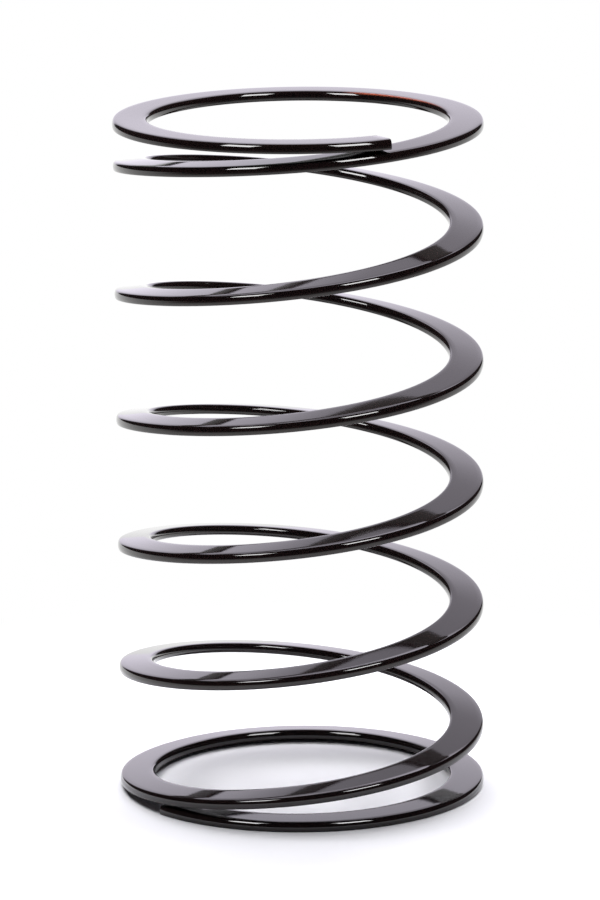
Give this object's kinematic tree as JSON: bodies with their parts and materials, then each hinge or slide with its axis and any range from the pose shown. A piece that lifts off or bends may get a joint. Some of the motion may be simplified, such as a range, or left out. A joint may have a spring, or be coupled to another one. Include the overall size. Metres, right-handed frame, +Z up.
{
  "type": "helper spring",
  "caption": "Flat-wire helper spring: a light right-hand coil of rectangular steel wire with closed ends, coated gloss black, that keeps a main coil spring seated.",
  "frame": {"origin": "centre of the coil at the plane that the bottom turn rests on", "axes": "+Z up the coil's axis from the bottom turn to the top turn, -Y towards the viewer, +X to the viewer's right"},
  "size_m": [0.0784, 0.0784, 0.1459],
  "materials": {
    "powder_coat": "gloss black powder coat with slight orange peel over spring steel"
  },
  "bodies": {
    "root": {"helper_spring": "powder_coat"}
  },
  "joints": []
}
